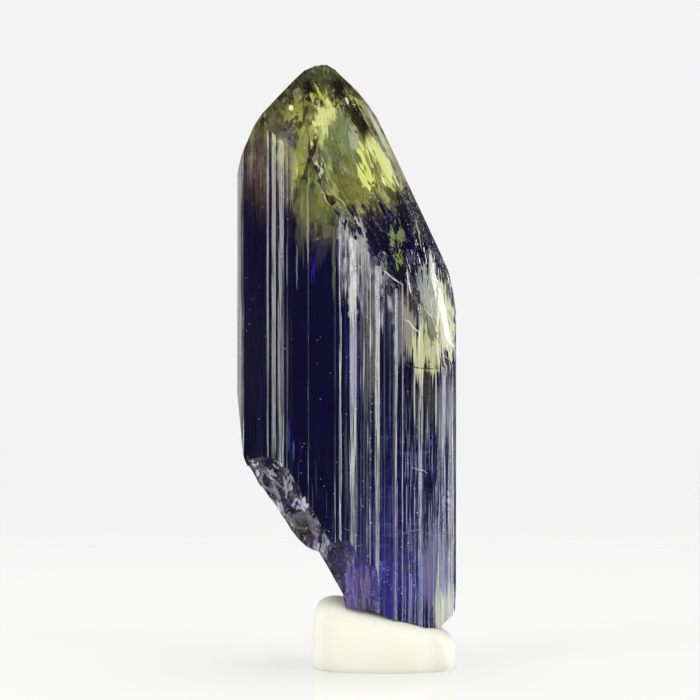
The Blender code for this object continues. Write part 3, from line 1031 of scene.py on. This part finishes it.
def light_world():
    """Pale all round. Gloss sees tall bright panels with dark gaps, and clear stone sees a pale room."""
    world = bpy.data.worlds.new("pale_room")
    bpy.context.scene.world = world
    g = Graph(world)
    way = g.node("ShaderNodeTexCoord", None, None, out="Generated")
    x, y, z = g.split(way)
    turn = g.math("ARCTAN2", x, -1.0 * y)
    panels = g.math("COSINE", (turn.size() - radians(PANEL_TURN)) * (360.0 / PANEL_STEP)).ramp(0.72, 0.96)
    panels = panels * z.between(-0.25, 0.45, 0.10) * g.blend(x.ramp(-0.1, 0.1), LEFT_PANELS, 1.0)
    straight_back = turn.size().ramp(radians(164.0), radians(174.0))
    shut = g.blend(straight_back, z.ramp(0.08, 0.22), 0.85 * (1 - z.ramp(-0.03, 0.0)))
    far = y.ramp(0.1, 0.8) * (1 - shut)
    walls = turn.size().between(radians(20.0), radians(42.0), radians(4.0)) * z.between(-0.3, 0.3, 0.1)
    gloss = DARK_GLOSS + FAR_GLOSS * far + PANEL_GLOSS * panels + WALL_GLOSS * walls
    clear = 0.15 + 1.30 * (1 - z.ramp(-0.3, 0.9)) * (0.20 + 0.80 * y.ramp(-0.5, 0.6))
    path = g.node("ShaderNodeLightPath").socket.node
    is_camera = Value(g, path.outputs["Is Camera Ray"])
    is_glossy = Value(g, path.outputs["Is Glossy Ray"])
    is_clear = Value(g, path.outputs["Is Transmission Ray"])
    strength = ROOM_LIGHT * (1 - is_camera) * (1 - is_glossy) * (1 - is_clear)
    strength = strength + SEEN_LIGHT * is_camera + (1 - is_clear) * is_glossy * gloss + is_clear * clear
    light = g.node("ShaderNodeBackground", None, {"Color": (1, 1, 1, 1), "Strength": strength})
    g.node("ShaderNodeOutputWorld", None, {"Surface": light})


def add_lamp(name, place, size, power):
    """A flat lamp that looks at the middle of the crystal and isn't seen itself."""
    data = bpy.data.lights.new(name, "AREA")
    data.shape = "RECTANGLE"
    data.size, data.size_y = (side * MM for side in size)
    data.energy = power
    lamp = bpy.data.objects.new(name, data)
    bpy.context.scene.collection.objects.link(lamp)
    lamp.location = Vector(place) * MM
    aim = Vector((0.0, 0.0, CENTRE_Z * MM)) - lamp.location
    lamp.rotation_euler = aim.to_track_quat("-Z", "Y").to_euler()
    lamp.visible_camera = False
    lamp.visible_glossy = False
    return lamp


def make_camera(settings):
    """A long lens straight at the front, so far away that the crystal has its size in the photograph."""
    data = bpy.data.cameras.new("camera")
    data.lens = settings.lens
    data.sensor_width = CAMERA_SENSOR
    data.clip_start = 0.01
    data.clip_end = 10.0
    camera = bpy.data.objects.new("camera", data)
    bpy.context.scene.collection.objects.link(camera)
    distance = PIXELS / PIXELS_PER_MM * settings.lens / CAMERA_SENSOR
    aim = Vector((CENTRE_X, 0.0, CENTRE_Z))
    back = Vector((0.0, -cos(settings.above), sin(settings.above)))
    camera.location = (aim + back * distance) * MM
    camera.rotation_euler = (-back).to_track_quat("-Z", "Y").to_euler()
    bpy.context.scene.camera = camera


def set_stage(settings):
    """The floor, the light and the camera, with enough bounces for light to get through the stone."""
    make_floor(settings)
    light_world()
    for name, (place, size, share) in SIDE_LAMPS.items():
        add_lamp(name, place, size, share * settings.lamp_power)
    add_lamp("top_panel", TOP_LAMP_PLACE, TOP_LAMP_SIZE, settings.top_power)
    make_camera(settings)
    scene = bpy.context.scene
    scene.view_settings.view_transform = "Standard"
    scene.cycles.max_bounces = CLEAR_BOUNCES
    scene.cycles.transmission_bounces = CLEAR_BOUNCES
    scene.cycles.transparent_max_bounces = CLEAR_BOUNCES
    scene.cycles.glossy_bounces = GLOSS_BOUNCES


class CRYSTAL_OT_make_crystal(bpy.types.Operator):
    """Make the striated crystal with its tip faces and breaks"""

    bl_idname = "crystal.make_crystal"
    bl_label = "Make crystal"

    def execute(self, context):
        make_crystal(context.scene.crystal_settings)
        return {"FINISHED"}


class CRYSTAL_OT_make_putty(bpy.types.Operator):
    """Make the lump of putty that holds the crystal"""

    bl_idname = "crystal.make_putty"
    bl_label = "Make putty"

    def execute(self, context):
        make_putty(context.scene.putty_settings)
        return {"FINISHED"}


class CRYSTAL_OT_set_stage(bpy.types.Operator):
    """Set the floor, the light and the camera"""

    bl_idname = "crystal.set_stage"
    bl_label = "Set stage"

    def execute(self, context):
        set_stage(context.scene.stage_settings)
        return {"FINISHED"}


class CRYSTAL_PT_panel(bpy.types.Panel):
    """Buttons and settings for the crystal, its putty and the stage"""

    bl_idname = "CRYSTAL_PT_panel"
    bl_label = "Tanzanite crystal"
    bl_space_type = "VIEW_3D"
    bl_region_type = "UI"
    bl_category = "Crystal"

    def draw(self, context):
        for operator, group in STEPS.items():
            box = self.layout.box()
            settings = getattr(context.scene, group)
            for name in settings.bl_rna.properties.keys():
                if name not in ("rna_type", "name"):
                    box.prop(settings, name)
            box.operator(operator)


STEPS = {
    "crystal.make_crystal": "crystal_settings",
    "crystal.make_putty": "putty_settings",
    "crystal.set_stage": "stage_settings",
}
GROUPS = {
    "crystal_settings": CrystalSettings,
    "putty_settings": PuttySettings,
    "stage_settings": StageSettings,
}
CLASSES = (
    CrystalSettings, PuttySettings, StageSettings,
    CRYSTAL_OT_make_crystal, CRYSTAL_OT_make_putty, CRYSTAL_OT_set_stage, CRYSTAL_PT_panel,
)


def register():
    for item in CLASSES:
        bpy.utils.register_class(item)
    for name, group in GROUPS.items():
        setattr(bpy.types.Scene, name, bpy.props.PointerProperty(type=group))


def unregister():
    for name in GROUPS:
        delattr(bpy.types.Scene, name)
    for item in reversed(CLASSES):
        bpy.utils.unregister_class(item)


def main():
    register()
    bpy.ops.crystal.make_crystal()
    bpy.ops.crystal.make_putty()
    bpy.ops.crystal.set_stage()


if __name__ == "__main__":
    main()
